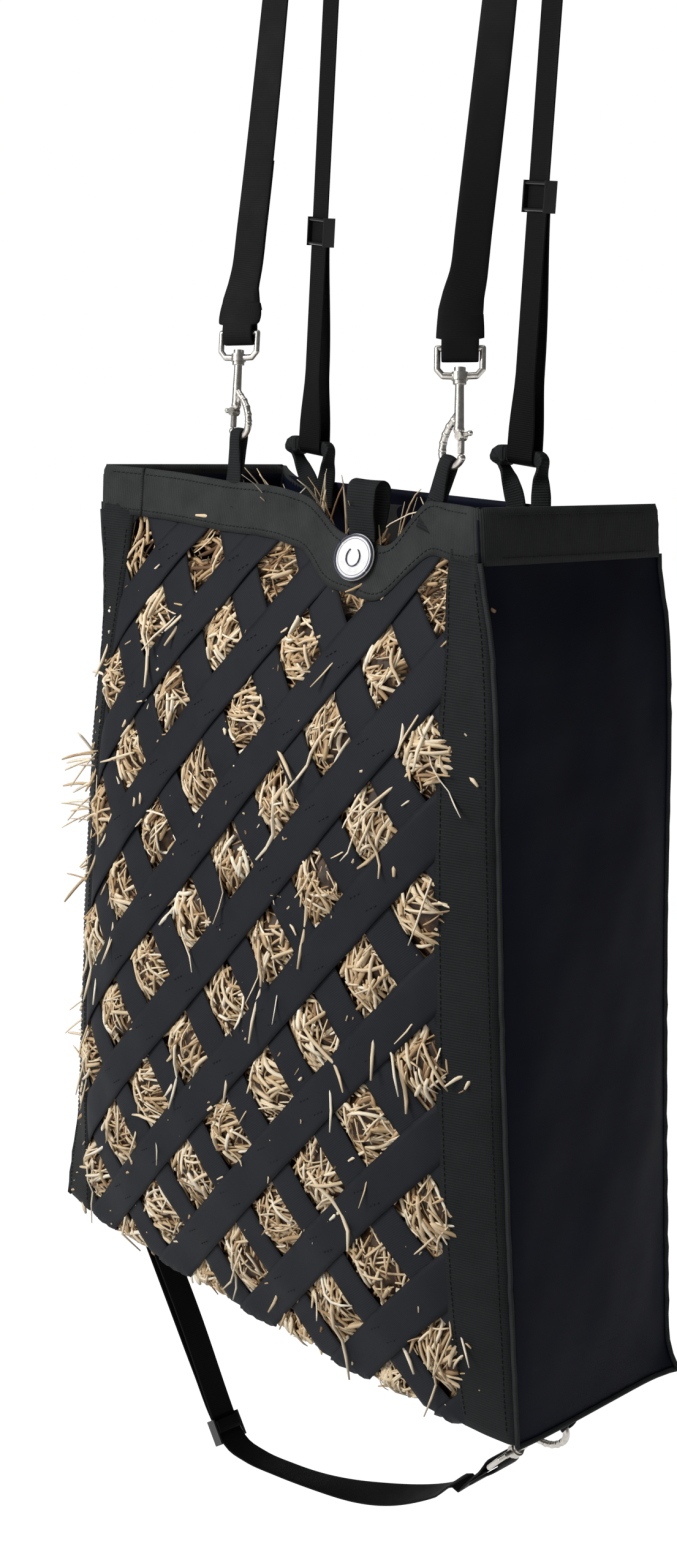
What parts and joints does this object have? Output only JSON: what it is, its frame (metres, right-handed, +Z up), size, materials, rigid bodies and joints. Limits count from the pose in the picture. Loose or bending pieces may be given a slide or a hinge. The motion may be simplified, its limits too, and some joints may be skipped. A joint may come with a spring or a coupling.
{
  "type": "hay net",
  "caption": "Webbing lattice hay bag with nylon sides, hung from two adjustable straps with swivel snaps, and a clip-on bottom strap.",
  "frame": {"origin": "on the axis of the hanging rail, midway between the two hanging straps", "axes": "+X along the rail to the right, +Y to the back of the bag, +Z up; the lattice front faces -Y"},
  "size_m": [0.5292, 0.2542, 1.5017],
  "materials": {
    "nylon": "woven",
    "webbing": "woven",
    "lattice": "woven",
    "hay": "dry straw",
    "nickel": "satin",
    "slider_black": "satin",
    "label": "satin"
  },
  "bodies": {
    "net": {"hay_fill": "hay", "back_panel": "nylon", "left_gusset": "nylon", "right_gusset": "nylon", "bottom_panel": "nylon", "front_hem": "webbing", "rear_hem": "webbing", "left_hem": "webbing", "right_hem": "webbing", "left_border": "webbing", "right_border": "webbing", "rising_straps": "lattice", "falling_straps": "lattice", "front_left_loop": "webbing", "front_right_loop": "webbing", "rear_left_loop": "webbing", "rear_right_loop": "webbing", "centre_loop": "webbing", "label_disc": "label", "left_strap": "webbing", "left_return": "webbing", "left_snap_hook": "nickel", "left_gate_pin": "nickel", "right_strap": "webbing", "right_return": "webbing", "right_snap_hook": "nickel", "right_gate_pin": "nickel"},
    "left_eye": {"left_snap_eye": "nickel", "left_strap_end": "webbing"},
    "left_gate": {"left_gate": "nickel"},
    "left_slide": {"left_slider": "slider_black", "left_slider_fold": "webbing"},
    "right_eye": {"right_snap_eye": "nickel", "right_strap_end": "webbing"},
    "right_gate": {"right_gate": "nickel"},
    "right_slide": {"right_slider": "slider_black", "right_slider_fold": "webbing"},
    "tether": {"tether_strap": "webbing", "tether_return": "webbing", "tether_snap_hook": "nickel", "tether_gate_pin": "nickel", "tether_left_loop": "webbing", "tether_right_loop": "webbing"},
    "tether_eye": {"tether_snap_eye": "nickel", "tether_end": "webbing"},
    "tether_gate": {"tether_gate": "nickel"},
    "tether_slide": {"tether_slider": "slider_black", "tether_slider_fold": "webbing"}
  },
  "joints": [
    {"name": "left_swivel", "type": "hinge", "parent": "net", "child": "left_eye", "pos_m": [-0.10642, -0.06808, -0.51278], "axis": [-0.0984, 0.1009, 0.99], "range_deg": [-45, 45]},
    {"name": "left_gate_hinge", "type": "hinge", "parent": "net", "child": "left_gate", "pos_m": [-0.10281, -0.07403, -0.57141], "axis": [-0.01, -0.9949, 0.1004], "range_deg": [0, 28], "stiffness_Nm_per_rad": 0.05, "springref_deg": -17.19},
    {"name": "right_swivel", "type": "hinge", "parent": "net", "child": "right_eye", "pos_m": [0.1256, -0.0734, -0.518], "axis": [-0.1618, 0.1083, 0.9809], "range_deg": [-45, 45]},
    {"name": "right_gate_hinge", "type": "hinge", "parent": "net", "child": "right_gate", "pos_m": [0.13732, -0.07979, -0.57551], "axis": [0.0176, 0.9941, -0.1068], "range_deg": [0, 28], "stiffness_Nm_per_rad": 0.05, "springref_deg": -17.19},
    {"name": "left_adjust", "type": "slide", "parent": "net", "child": "left_slide", "axis": [-0.0778, 0.0682, -0.9946], "range_m": [0, 0.1], "deforming": ["left_return"]},
    {"name": "right_adjust", "type": "slide", "parent": "net", "child": "right_slide", "axis": [-0.062, 0.0691, -0.9957], "range_m": [0, 0.1], "deforming": ["right_return"]},
    {"name": "tether_swing", "type": "hinge", "parent": "net", "child": "tether", "pos_m": [-0.01, -0.01, -1.2775], "axis": [1, 0, 0], "range_deg": [-40, 40]},
    {"name": "tether_gate_hinge", "type": "hinge", "parent": "tether", "child": "tether_gate", "pos_m": [0.21947, -0.01, -1.30257], "axis": [0, 1, 0], "range_deg": [0, 28], "stiffness_Nm_per_rad": 0.05, "springref_deg": -17.19},
    {"name": "tether_swivel", "type": "hinge", "parent": "tether", "child": "tether_eye", "pos_m": [0.183, -0.01, -1.349], "axis": [0.6465, 0, 0.7629], "range_deg": [-45, 45]},
    {"name": "tether_adjust", "type": "slide", "parent": "tether", "child": "tether_slide", "axis": [-0.6053, 0, 0.796], "range_m": [0, 0.1], "deforming": ["tether_return"]}
  ]
}
